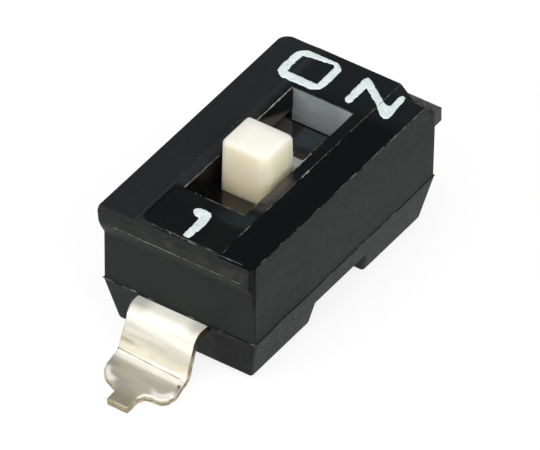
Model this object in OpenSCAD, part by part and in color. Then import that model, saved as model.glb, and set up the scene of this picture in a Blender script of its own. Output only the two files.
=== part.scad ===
// One-position slide DIP switch with surface-mount gull-wing terminals.
// Frame: origin on the mounting plane under the middle of the body, +Z up,
// +Y from the "1" end towards the "ON" end, X across the body.

/* [Body] */
// Width of the body across the slider travel
body_w = 3.7; // [3.5:0.05:4.2]
// Length of the cover between its plain end faces
cover_l = 6.42; // [6.3:0.02:6.6]
// Height of the housing itself, from its feet to its top face
body_h = 3.15; // [3.1:0.01:3.2]
// Gap under the feet of the housing when the terminals stand on the board
standoff = 0.1; // [0:0.02:0.2]
// Height of the seam between base and cover, above the feet
seam_z = 1.12; // [1.1:0.01:1.14]
// How far the base tapers in at its long sides
side_taper = 0.22; // [0.1:0.02:0.3]
// How far the base tapers in at its ends
end_taper = 0.2; // [0.1:0.02:0.3]

/* [Slot] */
// Width of the slot in the top face
slot_w = 1.48; // [1.4:0.02:1.5]
// Length of the slot in the top face
slot_l = 3.82; // [3.76:0.02:3.84]
// Height of the floor that the slider rides on, above the feet
floor_z = 2.42; // [2.4:0.01:2.44]

/* [Slider] */
// Width of the knob across the slot
knob_w = 1.16; // [0.9:0.02:1.2]
// Length of the knob along the slot
knob_l = 1.0; // [0.8:0.01:1.04]
// Height of the top of the knob over the top face
knob_rise = 0.59; // [0:0.01:0.8]
// Distance of the knob from the middle of the body in the off position
slider_off = 0.43; // [0.42:0.01:0.43]

/* [Terminals] */
// Thickness of the terminal strip
strip_t = 0.17; // [0.14:0.01:0.2]
// Width of the terminal where it leaves the body
lead_w = 1.7; // [1.3:0.02:1.8]
// Distance over the tips of the two terminals
lead_span = 10.46; // [10.2:0.02:10.6]
// Width of the narrow cut tip
tip_w = 0.49; // [0.36:0.01:0.6]
// Sideways offset of each lead from the middle of the body
lead_shift = 0.12; // [0:0.02:0.2]

/* [Hidden] */
$fn = 48;

black_plastic = [0.13, 0.14, 0.14];
ivory_plastic = [0.93, 0.9, 0.82];
silvered_brass = [0.82, 0.79, 0.7];
gold_plate = [0.83, 0.68, 0.35];

eps = 0.5;                          // overshoot of cutting tools
half_w = body_w / 2;
half_l = cover_l / 2;
fit = 0.02;                         // clearance between cover and base

// Cover
end_wall = 0.47;
side_wall = 0.48;
top_web = 0.555;                    // thickness over the slider channel
channel_w = 2.2;                    // slider channel under the slot
panel_w = 2.04;                     // middle strip, slightly proud of both side bands
slot_x = 0.015;                     // offsets of the slot from the middle of the cover
slot_y = -0.03;
slot_front = slot_y - slot_l / 2;
slot_rear = slot_y + slot_l / 2;
band_drop = 0.02;
legend_pocket_drop = 0.04;          // sunk field in front of the slot
legend_pocket_w = 1.88;
legend_pocket_r = 0.18;
pocket_front_y = -half_l - 0.03;
pocket_rear_y = slot_front + 0.01;
rim_y = -half_l - 0.06;             // front edge of the top face
lip_out = 0.2;                      // reach of the front lip
lip_top = 0.18;                     // fall of its rounded top
lip_face = 0.385;                   // depth of the lower edge of its upright face
lip_knee = [0.055, 0.53];           // inset and depth of the knee under that edge
lip_foot = 0.8;                     // depth at which it dies into the end face
lip_end_r = 0.22;                   // rounding of its right end
rear_draft = 0.04;
rail_out = 0.28;                    // reach of the rear rail
rail_top = 0.3;
rail_shoulder = 0.44;
rail_foot = 0.76;
rear_corner_r = 0.26;               // rounding of the left rear corner of the top
corner_cut_w = 0.33;                // sloped side of the cut at the right rear corner
corner_cut_d = 0.31;
corner_cut_y = half_l - 0.35;
corner_cut_run = 0.2;

// Base
ledge = 0.02;                       // base stands proud of the cover at the seam
recess_h = 0.52;                    // channel between the two feet
recess_foot = 0.96;
recess_top = 0.88;
core_l = cover_l - 2 * end_wall - 2 * fit;
core_w = body_w - 2 * side_wall - 2 * fit;
stop_h = 0.1;                       // raised pad in front of the slider
stop_gap = 0.02;
groove_l = 0.2;                     // groove at the rear of the floor, in front of the cover's tongue
groove_d = 0.16;
tongue_t = 0.3;                     // thickness of that tongue, the foot of the slot's rear wall
well_w = 0.72;                      // contact well under the slider
well_front = -0.95;
well_rear = 1.0;
well_top = 2.1;
leg_slot_rear = 0.64;               // rear end of the opening for the slider's leg

// Slider
knob_z = body_h + knob_rise;
knob_draft = 0.022;
plate_z = floor_z + 0.02;
plate_top = body_h - top_web - 0.03;
plate_w = 2.1;
plate_tail = 1.1;                   // plate behind the knob centre
plate_nose = 0.05;                  // plate in front of the knob centre
leg_w = 0.66;
leg_l = 0.36;
leg_z = 1.5;

// Moving contact
leaf_t = 0.06;
leaf_w = 0.46;
leaf_reach = 0.42;
leaf_shoe = 0.08;                   // half length of the flat shoe at each end

// Terminals, in heights above the feet of the housing
strip_top = 1.07;
tongue_w = 0.5;
tongue_root = 2.45;                 // where the strip narrows to its tongue
front_tongue_end = 0.06;
rear_tongue_end = 0.26;
tip_y = lead_span / 2;
drop_tilt = 64.7;                   // slope of the falling web
shoulder_y = -3.4;
shoulder_r = 0.32;
crease_y = -4.007;                  // where web and foot meet, on the upper side
crease_z = 0.215;
crease_r = 0.12;
tip_top_z = strip_t - standoff;
tip_flat = 0.12;                    // level strip under the tip that stands on the board
foot_end_left = 4.86;
foot_end_right = 4.75;
foot_r = 0.27;
neck_r = 0.2;                       // hollow between foot and tip

// Lifts the housing off the mounting plane, onto its terminals.
module raised() {
    translate([0, 0, standoff]) children();
}

// A YZ outline extruded across the body, centred on X.
module across(width) {
    translate([-width / 2, 0, 0])
        rotate([90, 0, 90])
            linear_extrude(height = width) children();
}

// An XZ outline extruded along Y.
module along(from, to) {
    translate([0, to, 0])
        rotate([90, 0, 0])
            linear_extrude(height = to - from) children();
}

// A box given by its lowest and highest corners.
module box(low, high) {
    translate(low) cube(high - low);
}

// A vertical block with rounded corners, centred on the origin.
module rounded_block(size, r, height) {
    linear_extrude(height = height)
        hull()
            for (x = [-1, 1], y = [-1, 1])
                translate([x * (size[0] / 2 - r), y * (size[1] / 2 - r)]) circle(r = r, $fn = 32);
}

// Cuts a vertical corner at the origin round: the body lies towards -X of it
// for sx = 1, and towards -Y of it for sy = 1.
module corner_cutter(r, sx, sy, height) {
    linear_extrude(height = height)
        difference() {
            translate([sx > 0 ? -r : -1, sy > 0 ? -r : -1]) square(1 + r);
            translate([-sx * r, -sy * r]) circle(r = r);
        }
}

// Side view of the cover: rounded front lip on the left, rear rail on the right.
module cover_outline() {
    lip_y = -half_l - lip_out;
    top_r = -lip_y + rim_y;
    polygon(concat(
        [
            [-half_l, seam_z],
            [-half_l, body_h - lip_foot],
            [lip_y + lip_knee[0], body_h - lip_knee[1]],
            [lip_y, body_h - lip_face]
        ],
        [for (a = [0:15:90]) [rim_y - top_r * cos(a), body_h - lip_top + lip_top * sin(a)]],
        [
            [half_l, body_h],
            [half_l, body_h - rail_top],
            [half_l + rail_out, body_h - rail_shoulder],
            [half_l + rail_out, body_h - rail_foot],
            [half_l + rear_draft, body_h - rail_foot],
            [half_l, seam_z]
        ]
    ));
}

// Sloped cut across the right rear corner, down to the top of the rail.
module rear_corner_cut() {
    floor_cut = body_h - corner_cut_d;
    rail_edge = body_h - rail_shoulder;
    intersection() {
        across(2 * body_w) polygon([
            [corner_cut_y, body_h + eps],
            [corner_cut_y, body_h],
            [corner_cut_y + corner_cut_run, floor_cut],
            [half_l + rail_out, rail_edge],
            [half_l + 1, rail_edge],
            [half_l + 1, body_h + eps]
        ]);
        along(0, half_l + 1) polygon([
            [panel_w / 2, body_h + eps],
            [panel_w / 2, body_h],
            [panel_w / 2 + corner_cut_w, floor_cut],
            [panel_w / 2 + corner_cut_w, rail_edge - eps],
            [half_w + eps, rail_edge - eps],
            [half_w + eps, body_h + eps]
        ]);
    }
}

module cover() {
    inner_w = body_w - 2 * side_wall;
    inner_l = cover_l - 2 * end_wall;
    pocket_l = pocket_rear_y - pocket_front_y;
    color(black_plastic)
    raised()
    union() {
        difference() {
            across(body_w) cover_outline();
            // Room for the core of the base
            box([-inner_w / 2, -inner_l / 2, seam_z - eps], [inner_w / 2, inner_l / 2, floor_z]);
            // Slider channel and slot
            box([-channel_w / 2, slot_front, floor_z - eps], [channel_w / 2, slot_rear, body_h - top_web]);
            box([slot_x - slot_w / 2, slot_front, floor_z], [slot_x + slot_w / 2, slot_rear, body_h + eps]);
            // Side bands a little lower than the middle panel
            for (side = [-1, 1])
                translate([side * (panel_w / 2 + 1), 0, body_h - band_drop + 0.5])
                    cube([2, cover_l + 2, 1], center = true);
            // Sunk field for the position number
            translate([0, pocket_front_y + pocket_l / 2, body_h - legend_pocket_drop])
                rounded_block([legend_pocket_w, pocket_l], legend_pocket_r, 1);
            rear_corner_cut();
            // Rounded right end of the lip and rounded left rear corner of the top
            translate([half_w, -half_l - lip_out, body_h - lip_foot - 0.1])
                corner_cutter(lip_end_r, 1, -1, 2);
            translate([-half_w, half_l, body_h - rail_top])
                corner_cutter(rear_corner_r, -1, 1, 2);
        }
        // Tongue that runs on down from the slot's rear wall into the groove of the base
        box([-channel_w / 2 + fit, slot_rear, floor_z - groove_d + fit],
            [channel_w / 2 - fit, slot_rear + tongue_t, floor_z + 0.01]);
    }
}

// Side view of the lower body: tapered ends and a channel between two feet.
module base_outline() {
    end_top = half_l + ledge;
    end_foot = half_l - end_taper;
    polygon([
        [-end_top, seam_z],
        [-end_foot, 0],
        [-recess_foot, 0],
        [-recess_top, recess_h],
        [recess_top, recess_h],
        [recess_foot, 0],
        [end_foot, 0],
        [end_top, seam_z]
    ]);
}

// End view of the lower body, tapered on both long sides.
module base_end_outline() {
    polygon([
        [-half_w - ledge, seam_z],
        [-half_w + side_taper, 0],
        [half_w - side_taper, 0],
        [half_w + ledge, seam_z]
    ]);
}

module base() {
    color(black_plastic)
    raised()
    difference() {
        union() {
            intersection() {
                across(body_w + 1) base_outline();
                along(-half_l - 1, half_l + 1) base_end_outline();
            }
            box([-core_w / 2, -core_l / 2, seam_z - 0.1], [core_w / 2, core_l / 2, floor_z]);
            box([-plate_w / 2, slot_front + fit, floor_z - 0.1],
                [plate_w / 2, -slider_off - knob_l / 2 - knob_draft - stop_gap, floor_z + stop_h]);
        }
        box([-channel_w / 2, slot_rear - groove_l, floor_z - groove_d],
            [channel_w / 2, slot_rear + tongue_t + fit, floor_z + eps]);
        box([-well_w / 2, well_front, strip_top], [well_w / 2, well_rear, well_top]);
        box([-well_w / 2, well_front, strip_top], [well_w / 2, leg_slot_rear, floor_z + eps]);
        strip(front_tongue_end);
        rotate([0, 0, 180]) strip(-rear_tongue_end);
    }
}

// Tapered outline of the knob for one of its two side views.
module knob_outline(size) {
    polygon([
        [-size / 2 - knob_draft, plate_z],
        [-size / 2, knob_z],
        [size / 2, knob_z],
        [size / 2 + knob_draft, plate_z]
    ]);
}

module slider() {
    color(ivory_plastic)
    raised()
    translate([0, -slider_off, 0])
    union() {
        intersection() {
            across(2) knob_outline(knob_l);
            along(-1, 1) knob_outline(knob_w);
        }
        // Plate under the cover and the leg that carries the contact
        box([-plate_w / 2, -plate_nose, plate_z], [plate_w / 2, plate_tail, plate_top]);
        difference() {
            box([-leg_w / 2, -leg_l / 2, leg_z], [leg_w / 2, leg_l / 2, plate_z + 0.01]);
            across(leaf_w) contact_outline();
        }
    }
}

// Bowed leaf: a saddle in the slider leg and two arms ending in flat shoes.
module contact_outline() {
    shoe_z = strip_top + 0.01;
    saddle_z = leg_z + 0.1;
    under = [
        [-leaf_reach - leaf_shoe, shoe_z],
        [-leaf_reach + leaf_shoe, shoe_z],
        [-leg_l / 2 + 0.04, saddle_z],
        [leg_l / 2 - 0.04, saddle_z],
        [leaf_reach - leaf_shoe, shoe_z],
        [leaf_reach + leaf_shoe, shoe_z]
    ];
    last = len(under) - 1;
    polygon(concat(under, [for (i = [last:-1:0]) [under[i][0], under[i][1] + leaf_t]]));
}

module moving_contact() {
    color(gold_plate)
    raised()
    translate([0, -slider_off, 0])
        across(leaf_w) contact_outline();
}

// Points on an arc about a centre.
function arc(centre, r, from, to) =
    [for (i = [0:12]) centre + r * [cos(from + (to - from) * i / 12), sin(from + (to - from) * i / 12)]];

// Side view of one strip, from its inner end to the cut tip at negative Y.
module strip_outline(inner_end) {
    foot_tilt = atan((crease_z - tip_top_z) / (tip_y + crease_y));
    shoulder = [shoulder_y, strip_top - shoulder_r];
    // Centre of the inner bend, which is tangent to the web and to the foot
    half_turn = (drop_tilt - foot_tilt) / 2;
    bend_dir = (drop_tilt + foot_tilt) / 2;
    bend = [crease_y, crease_z] + crease_r / cos(half_turn) * [-sin(bend_dir), cos(bend_dir)];
    polygon(concat(
        [[inner_end, strip_top]],
        arc(shoulder, shoulder_r, 90, 90 + drop_tilt),
        arc(bend, crease_r, drop_tilt - 90, foot_tilt - 90),
        [
            [-tip_y, tip_top_z],
            [-tip_y, tip_top_z - strip_t],
            [-tip_y + tip_flat, tip_top_z - strip_t]
        ],
        arc(bend, crease_r + strip_t, foot_tilt - 90, drop_tilt - 90),
        arc(shoulder, shoulder_r - strip_t, 90 + drop_tilt, 90),
        [[inner_end, strip_top - strip_t]]
    ));
}

// Plan of one strip: wide lead, rounded foot, narrow tip and inner tongue.
module strip_plan(inner_end) {
    half_lead = lead_w / 2;
    union() {
        translate([-half_lead, -4.3]) square([lead_w, 4.3 - tongue_root]);
        translate([-tongue_w / 2, -tongue_root - 0.1]) square([tongue_w, inner_end + tongue_root + 0.1]);
        hull() {
            translate([-half_lead + foot_r, -foot_end_left + foot_r]) circle(r = foot_r, $fn = 32);
            translate([-tip_w / 2, -foot_end_left]) square([tip_w / 2, 0.2]);
            translate([-half_lead, -4.25]) square([half_lead, 0.2]);
        }
        hull() {
            translate([half_lead - foot_r, -foot_end_right + foot_r]) circle(r = foot_r, $fn = 32);
            translate([0, -foot_end_right]) square([tip_w / 2, 0.2]);
            translate([0, -4.25]) square([half_lead, 0.2]);
        }
        translate([-tip_w / 2, -tip_y]) square([tip_w, tip_y - foot_end_right + 0.1]);
        difference() {
            translate([tip_w / 2 - 0.01, -foot_end_right - neck_r]) square([neck_r + 0.01, neck_r + 0.05]);
            translate([tip_w / 2 + neck_r, -foot_end_right - neck_r]) circle(r = neck_r, $fn = 32);
        }
    }
}

// One terminal pointing to negative Y.
module strip(inner_end) {
    intersection() {
        across(lead_w + 1) strip_outline(inner_end);
        translate([-lead_shift, 0, -eps]) linear_extrude(height = body_h) strip_plan(inner_end);
    }
}

module front_terminal() {
    color(silvered_brass) raised() strip(front_tongue_end);
}

module rear_terminal() {
    color(silvered_brass) raised() rotate([0, 0, 180]) strip(-rear_tongue_end);
}

cover();
base();
slider();
moving_contact();
front_terminal();
rear_terminal();
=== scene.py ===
import math

import bmesh
import bpy
from mathutils import Matrix, Vector, noise


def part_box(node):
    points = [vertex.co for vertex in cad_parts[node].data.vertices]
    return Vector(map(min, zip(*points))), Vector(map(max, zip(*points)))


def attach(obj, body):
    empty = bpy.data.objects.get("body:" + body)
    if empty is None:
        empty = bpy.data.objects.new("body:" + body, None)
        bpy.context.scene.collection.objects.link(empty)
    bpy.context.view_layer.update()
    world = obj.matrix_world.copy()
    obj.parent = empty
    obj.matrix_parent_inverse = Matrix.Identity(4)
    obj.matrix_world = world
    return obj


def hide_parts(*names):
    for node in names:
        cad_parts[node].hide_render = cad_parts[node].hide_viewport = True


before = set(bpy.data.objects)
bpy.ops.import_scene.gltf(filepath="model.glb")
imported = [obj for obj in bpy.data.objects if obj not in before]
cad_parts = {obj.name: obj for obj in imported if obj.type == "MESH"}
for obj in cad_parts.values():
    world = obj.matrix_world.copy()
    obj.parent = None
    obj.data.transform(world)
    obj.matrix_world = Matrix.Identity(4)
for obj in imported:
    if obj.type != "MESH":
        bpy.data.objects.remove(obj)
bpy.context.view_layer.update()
MM = 0.001

# ------------------------ frame sizes, in mm
cover_lo, cover_hi = (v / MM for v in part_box("cover"))
base_lo, base_hi = (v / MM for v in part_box("base"))
slider_lo, slider_hi = (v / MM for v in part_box("slider"))
front_lo, front_hi = (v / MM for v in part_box("front_terminal"))
LEDGE = 0.02  # the base stands out from the cover at the seam
FOOT = base_lo.z  # underside of the housing
TOP = cover_hi.z  # top face
SEAM = cover_lo.z
HALF_W = cover_hi.x
HALF_L = base_hi.y - LEDGE
KNOB_Y = -0.43  # middle of the knob at rest
SLOT_L, SLOT_R = -0.725, 0.755  # sides of the slot
SLOT_FRONT, SLOT_REAR = -1.94, 1.88  # ends of the slot
PANEL = 1.02  # right edge of the middle panel
BAND_DROP = 0.02  # the bands beside that panel lie lower
FIELD_DROP, FIELD_HALF_W = 0.04, 0.94  # sunk field around the digit
FLOOR = TOP - 0.73  # floor of the slot
PLATE_Z = FLOOR + 0.02  # underside of the slider's plate


# ------------------------ camera
AZ, EL, ROLL = math.radians(34.4), math.radians(40.4), math.radians(0.14)
DIST = 242.5 * MM
LENS, SENSOR = 800, 36
AIM_Z = 1.6  # it looks at this height, and a little beside it
AIM_RIGHT, AIM_DOWN = 0.005, 0.273
CLIP_NEAR, CLIP_FAR = 0.01, 10  # in metres
fwd = -Vector((math.sin(AZ) * math.cos(EL), -math.cos(AZ) * math.cos(EL), math.sin(EL)))
right = Vector((math.cos(AZ), math.sin(AZ), 0))
up = right.cross(fwd)
cam_x = right * math.cos(ROLL) + up * math.sin(ROLL)
cam_y = up * math.cos(ROLL) - right * math.sin(ROLL)
cam = bpy.data.cameras.new("camera")
cam.lens = LENS
cam.sensor_width = SENSOR
cam.clip_start = CLIP_NEAR
cam.clip_end = CLIP_FAR
camera = bpy.data.objects.new("camera", cam)
pose = Matrix((cam_x, cam_y, -fwd)).transposed().to_4x4()
pose.translation = Vector((0, 0, AIM_Z * MM)) - fwd * DIST + cam_x * AIM_RIGHT * MM - cam_y * AIM_DOWN * MM
camera.matrix_world = pose
bpy.context.scene.collection.objects.link(camera)
bpy.context.scene.camera = camera
bpy.context.scene.view_settings.view_transform = "Standard"


# ------------------------ node helpers
class Graph:
    """A small builder for node materials. Coordinates are millimetres in the part's frame."""

    def __init__(self, name):
        self.mat = bpy.data.materials.new(name)
        self.mat.use_nodes = True
        self.nt = self.mat.node_tree
        self.nt.nodes.clear()
        self.out = self.new("OutputMaterial")
        coord = self.new("TexCoord")
        scale = self.new("VectorMath")
        scale.operation = "SCALE"
        scale.inputs["Scale"].default_value = 1 / MM
        self.put(scale.inputs[0], coord.outputs["Object"])
        self.pos = scale.outputs[0]
        self.x, self.y, self.z = self.split(self.pos)
        self.nx, self.ny, self.nz = self.split(self.new("NewGeometry").outputs["Normal"])

    def new(self, kind):
        return self.nt.nodes.new("ShaderNode" + kind)

    def split(self, vec):
        n = self.new("SeparateXYZ")
        self.put(n.inputs[0], vec)
        return n.outputs

    def put(self, socket, value):
        if isinstance(value, bpy.types.NodeSocket):
            self.nt.links.new(value, socket)
        elif isinstance(value, tuple) and len(value) == 3 and socket.type == "RGBA":
            socket.default_value = (*value, 1)
        else:
            socket.default_value = value

    def math(self, op, *values):
        n = self.new("Math")
        n.operation = op
        for socket, value in zip(n.inputs, values):
            self.put(socket, value)
        return n.outputs[0]

    def chain(self, op, values):
        out = values[0]
        for value in values[1:]:
            out = self.math(op, out, value)
        return out

    def mul(self, *values):
        return self.chain("MULTIPLY", values)

    def add(self, *values):
        return self.chain("ADD", values)

    def highest(self, *values):
        return self.chain("MAXIMUM", values)

    def square_sum(self, a, b):
        return self.add(self.mul(a, a), self.mul(b, b))

    def from_point(self, x, y):
        """Square of the distance from a point, seen from above."""
        return self.square_sum(self.add(self.x, -x), self.add(self.y, -y))

    def ramp(self, value, a, b, lo=0.0, hi=1.0):
        """Eases from lo at a to hi at b."""
        n = self.new("MapRange")
        n.interpolation_type = "SMOOTHSTEP"
        self.put(n.inputs["Value"], value)
        for key, v in (("From Min", a), ("From Max", b), ("To Min", lo), ("To Max", hi)):
            self.put(n.inputs[key], v)
        return n.outputs[0]

    def vary(self, noise, lo, hi):
        """Spreads a noise, which lies mostly between 0.3 and 0.7, from lo to hi."""
        return self.ramp(noise, 0.3, 0.7, lo, hi)

    def patchy(self, noise, lo):
        """Factor that thins a mask down to lo where the noise is low."""
        return self.ramp(noise, 0.3, 0.6, lo, 1.0)

    def band(self, value, a, b, soft):
        """1 between a and b, with soft borders."""
        return self.mul(self.ramp(value, a - soft, a + soft), self.ramp(value, b + soft, b - soft))

    def shift(self, vec, scale, move):
        n = self.new("Mapping")
        n.vector_type = "POINT"
        self.put(n.inputs["Vector"], vec)
        n.inputs["Scale"].default_value = scale
        n.inputs["Location"].default_value = move
        return n.outputs[0]

    def noise(self, scale, detail, rough, stretch=(1, 1, 1), move=(0, 0, 0)):
        n = self.new("TexNoise")
        self.put(n.inputs["Vector"], self.shift(self.pos, stretch, move))
        n.inputs["Scale"].default_value = scale
        n.inputs["Detail"].default_value = detail
        n.inputs["Roughness"].default_value = rough
        return n.outputs["Fac"]

    def mix(self, fac, a, b):
        n = self.new("Mix")
        n.data_type = "RGBA"
        self.put(n.inputs["Factor"], fac)
        self.put(n.inputs[6], a)
        self.put(n.inputs[7], b)
        return n.outputs[2]

    def paint(self, mask, color):
        """Lays a colour over what is there so far, where the mask is 1."""
        self.color = self.mix(mask, self.color, color)

    def bump(self, height, distance, strength=1.0, normal=None):
        n = self.new("Bump")
        self.put(n.inputs["Height"], height)
        n.inputs["Distance"].default_value = distance * MM
        n.inputs["Strength"].default_value = strength
        if normal is not None:
            self.put(n.inputs["Normal"], normal)
        return n.outputs[0]

    def surface(self, rough, metallic=0.0, specular=0.5, normal=None, sss=0.0, radius=None):
        """The finished material, with the colour painted so far."""
        b = self.new("BsdfPrincipled")
        self.put(b.inputs["Base Color"], self.color)
        self.put(b.inputs["Roughness"], rough)
        self.put(b.inputs["Metallic"], metallic)
        b.inputs["Specular IOR Level"].default_value = specular
        if sss:
            b.inputs["Subsurface Weight"].default_value = sss
            b.inputs["Subsurface Radius"].default_value = radius
            b.inputs["Subsurface Scale"].default_value = MM
        if normal is not None:
            self.put(b.inputs["Normal"], normal)
        self.put(self.out.inputs["Surface"], b.outputs[0])
        return self.mat


def lin(hexcode):
    """Linear RGB of a written sRGB colour."""
    rgb = [int(hexcode[i:i + 2], 16) / 255 for i in (0, 2, 4)]
    return tuple(c / 12.92 if c <= 0.04045 else ((c + 0.055) / 1.055) ** 2.4 for c in rgb)


# ------------------------ materials
# Colours are linear RGB, and positions are in mm. ALONG and AGAINST bound the masks over one part of
# the normal, for faces that look along that axis or against it.
ALONG, AGAINST = (0.6, 0.9), (-0.6, -0.9)
SATIN_SPECULAR = 0.10
# black laid on faces as painted shade
PAINTED_SHADE_BLACK = (0.004, 0.005, 0.005)
NAVY_TINT = (0.8, 1.05, 1.32)  # of the polished band right of the panel
FIELD_CORNER = (-0.62, -2.92)  # centre of the rounded front left corner of the sunk field


def end_wall(g):
    """Mask of the rear end wall of the slot."""
    return g.mul(
        g.ramp(g.ny, *AGAINST),
        g.band(g.y, SLOT_REAR - 0.12, SLOT_REAR + 0.12, 0.02),
        g.band(g.x, SLOT_L - 0.02, SLOT_R + 0.02, 0.01),
    )


def pale_wall(g):
    """Pale grey of that wall, streaked across, with painted light that makes it lighter towards the right."""
    streak = g.noise(5, 3, 0.6, stretch=(0.5, 1, 6))
    grey = g.mix(g.ramp(streak, 0.35, 0.65), lin("9da3a5"), lin("8f9496"))
    return g.mix(g.ramp(g.x, 0.25, SLOT_R, 0, 0.8), grey, lin("bcc1c2"))


def flow(g):
    """The broad clouds and the mottling that the black plastics share."""
    g.cloud = g.noise(1.1, 3, 0.6)
    g.mottle = g.noise(6.5, 4, 0.65, move=(3, 1, 2))


def cover_marks_and_shade(g):
    """What only the cover has, with painted shade and painted light among its marks."""
    # Matte top, outside the polished faces
    top = g.mul(g.ramp(g.nz, 0.80, 0.95), g.ramp(g.z, TOP - 0.12, TOP - 0.07))
    matte = g.mix(g.ramp(g.mottle, 0.4, 0.7, 0, 0.6), (0.0145, 0.0175, 0.0180), (0.0190, 0.0205, 0.0205))
    g.paint(top, matte)
    # Pale rear end wall of the slot, with painted light towards its right
    g.paint(end_wall(g), pale_wall(g))
    # Paler foot of the rear rail, towards the right
    rail = g.mul(
        g.ramp(g.y, HALF_L - 0.04, HALF_L + 0.04),
        g.ramp(g.x, 0.6, 1.3),
        g.ramp(g.z, TOP - 0.82, TOP - 0.66),
        g.patchy(g.mottle, 0.5),
    )
    g.paint(rail, (0.078, 0.079, 0.076))
    # Painted shade: the right side darkens upwards
    g.paint(g.mul(g.ramp(g.nx, *ALONG), g.ramp(g.z, TOP - 1.4, TOP - 0.1, 0, 0.28)), PAINTED_SHADE_BLACK)
    # Scuffs on the rounded top of the lip
    lip = g.mul(
        g.band(g.z, TOP - 0.38, TOP - 0.05, 0.04),
        g.ramp(g.y, -HALF_L - 0.02, -HALF_L - 0.06),
        g.ramp(g.noise(3.4, 4, 0.7, stretch=(0.7, 1, 1), move=(6, 1, 4)), 0.46, 0.60),
        g.ramp(g.x, -0.9, 0.0, 0.25, 1.0),
    )
    g.paint(g.mul(lip, 0.7), (0.040, 0.037, 0.034))
    # Painted shade: a darker line down the front right corner
    edge = g.mul(
        g.ramp(g.x, HALF_W - 0.085, HALF_W - 0.05),
        g.ramp(g.y, -HALF_L + 0.075, -HALF_L + 0.04),
        g.ramp(g.z, TOP - 1.25, TOP - 0.95),
        g.ramp(g.noise(4, 3, 0.7, move=(0, 0, 3)), 0.30, 0.42),
    )
    g.paint(edge, (0.002, 0.002, 0.002))


def base_marks_and_shade(g):
    """What only the base has, starting with painted shade that darkens its right side."""
    g.paint(g.ramp(g.nx, 0.5, 0.9, 0, 0.22), PAINTED_SHADE_BLACK)
    # Painted shadow on the front, right of the terminal
    shade = g.mul(
        g.ramp(g.ny, *AGAINST),
        g.ramp(g.x, 0.62, 0.95),
        g.ramp(g.y, -HALF_L + 0.3, -HALF_L + 0.25),
    )
    g.paint(shade, (0.0015, 0.0022, 0.0020))
    # The slot's end wall runs on down to the floor's groove, pale and with the same painted light
    g.paint(end_wall(g), pale_wall(g))


def black_plastic(name, marks):
    """Moulded black plastic: satin, with faint flow mottling, painted shade low on the right side, and the
    part's own marks and painted light.
    """
    g = Graph(name)
    flow(g)
    grain = g.noise(42, 2, 0.6, move=(1, 5, 2))
    g.color = g.mix(g.ramp(g.cloud, 0.35, 0.65), (0.0134, 0.0182, 0.0169), (0.0168, 0.0196, 0.0178))
    g.paint(g.ramp(g.mottle, 0.45, 0.75, 0, 0.5), (0.0205, 0.0240, 0.0218))
    rough = g.vary(g.mottle, 0.44, 0.54)
    # Painted shade: darker low down in the front part of the right side
    near = g.mul(g.ramp(g.nx, *ALONG), g.ramp(g.y, -0.6, -2.2, 0, 0.45), g.ramp(g.z, TOP - 1.0, TOP - 1.8))
    g.paint(near, PAINTED_SHADE_BLACK)
    marks(g)
    normal = g.bump(grain, 0.003, 0.5, g.bump(g.mottle, 0.007, 0.4))
    return g.surface(rough, specular=SATIN_SPECULAR, normal=normal)


def panel_reflection(g):
    """Painted reflection of the knob: a brownish strip right of the front part of the slot."""
    strip_reflection = g.mul(g.band(g.x, SLOT_R, PANEL, 0.02), g.band(g.y, -1.72, -0.55, 0.14), g.patchy(g.mottle, 0.5))
    g.paint(strip_reflection, (0.050, 0.0450, 0.0380))


def wall_marks(g):
    """Lighter brown-grey on the slot's left wall behind the knob, below a slanted line."""
    slant = g.add(g.z, g.mul(g.y, 0.45))
    g.paint(g.mul(g.ramp(slant, TOP + 0.32, TOP + 0.14), g.ramp(g.y, 0.3, 0.6)), (0.085, 0.078, 0.076))


def floor_marks_and_reflection(g):
    """Lighter brown-grey beside that wall, a cooler part right of it, and a brownish painted reflection of
    the knob behind it.
    """
    across = g.add(g.y, g.mul(g.x, 1.463))
    g.paint(g.mul(g.ramp(across, 0.85, 0.75), g.ramp(g.y, 0.9, 1.1)), (0.060, 0.055, 0.054))
    cool = g.mul(g.band(g.y, 1.02, 1.80, 0.08), g.ramp(g.x, -0.35, -0.25), g.patchy(g.mottle, 0.6))
    g.paint(cool, (0.022, 0.029, 0.034))
    knob_reflection = g.mul(g.band(g.x, -0.10, 0.62, 0.08), g.band(g.y, 0.42, 0.98, 0.08), g.patchy(g.mottle, 0.5))
    g.paint(knob_reflection, (0.050, 0.045, 0.034))


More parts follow.
